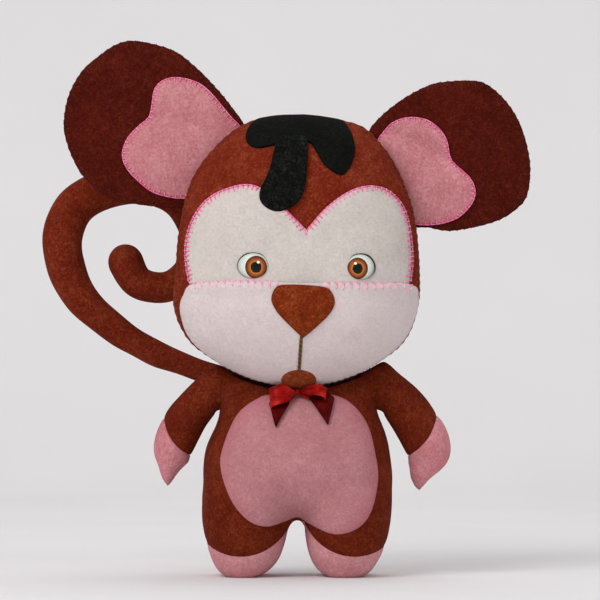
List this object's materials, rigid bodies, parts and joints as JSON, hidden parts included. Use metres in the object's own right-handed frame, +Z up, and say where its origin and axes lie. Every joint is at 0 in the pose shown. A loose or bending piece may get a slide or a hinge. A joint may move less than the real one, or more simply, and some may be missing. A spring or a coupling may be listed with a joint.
{
  "type": "stuffed toy monkey",
  "caption": "Standing felt monkey with a big round head, large round ears, short legs, a ribbon bow and a long stuffed tail that curls up behind it.",
  "frame": {"origin": "on the floor midway between the two soles", "axes": "+Z up, the face looks along -Y, +X towards the viewer's right; the toy's ears and tail spread along X"},
  "size_m": [0.2483, 0.0979, 0.2675],
  "materials": {
    "brown_felt": "matte",
    "dark_felt": "matte",
    "pink_felt": "matte",
    "white_felt": "matte",
    "blush_felt": "matte",
    "rust_felt": "matte",
    "thread": "matte",
    "black_felt": "matte",
    "eye_print": "gloss",
    "clear_resin": "gloss",
    "fibre": "matte",
    "wood": "matte",
    "wire": "satin",
    "satin": "satin"
  },
  "bodies": {
    "torso": {"body_front": "brown_felt", "body_back": "brown_felt", "body_stuffing": "fibre", "belly_patch": "pink_felt", "foot_left": "pink_felt", "foot_right": "pink_felt", "neck_dowel": "wood", "bow_knot": "satin", "bow_loop_left": "satin", "bow_loop_right": "satin", "bow_tail_left": "satin", "bow_tail_right": "satin"},
    "head": {"head_front_panel": "brown_felt", "head_back_panel": "brown_felt", "head_stuffing": "fibre", "face_mask": "white_felt", "muzzle": "blush_felt", "nose": "rust_felt", "lip_thread": "thread", "mouth": "rust_felt", "eye_left_print": "eye_print", "eye_left_dome": "clear_resin", "eye_right_print": "eye_print", "eye_right_dome": "clear_resin", "hair_crown": "black_felt", "hair_forelock": "black_felt"},
    "ear_left": {"ear_left_front": "dark_felt", "ear_left_back": "dark_felt", "ear_left_batting": "fibre", "ear_left_lining": "pink_felt"},
    "ear_right": {"ear_right_front": "dark_felt", "ear_right_back": "dark_felt", "ear_right_batting": "fibre", "ear_right_lining": "pink_felt"},
    "arm_left": {"arm_left_sleeve": "brown_felt", "hand_left": "pink_felt", "arm_left_stuffing": "fibre"},
    "arm_right": {"arm_right_sleeve": "brown_felt", "hand_right": "pink_felt", "arm_right_stuffing": "fibre"},
    "tail": {"tail_skin": "brown_felt", "tail_stuffing": "fibre", "tail_wire": "wire"}
  },
  "joints": [
    {"name": "head_turn", "type": "hinge", "parent": "torso", "child": "head", "pos_m": [0, -0.004, 0.0954], "axis": [0, 0, 1], "range_deg": [-8, 18], "stiffness_Nm_per_rad": 0.06},
    {"name": "ear_left_flap", "type": "hinge", "parent": "head", "child": "ear_left", "pos_m": [-0.0515, 0.002, 0.203], "axis": [0.644, 0, 0.765], "range_deg": [-10, 20], "stiffness_Nm_per_rad": 0.08},
    {"name": "ear_right_flap", "type": "hinge", "parent": "head", "child": "ear_right", "pos_m": [0.0553, 0.002, 0.1938], "axis": [0.44, 0, -0.898], "range_deg": [-10, 20], "stiffness_Nm_per_rad": 0.08},
    {"name": "arm_left_swing", "type": "hinge", "parent": "torso", "child": "arm_left", "pos_m": [-0.0404, 0, 0.0935], "axis": [-1, 0, 0], "range_deg": [-35, 60]},
    {"name": "arm_right_swing", "type": "hinge", "parent": "torso", "child": "arm_right", "pos_m": [0.0404, 0, 0.0935], "axis": [-1, 0, 0], "range_deg": [-35, 60]},
    {"name": "tail_swing", "type": "hinge", "parent": "torso", "child": "tail", "pos_m": [0.005, 0.0246, 0.087], "axis": [0, 0, -1], "range_deg": [0, 30]}
  ]
}
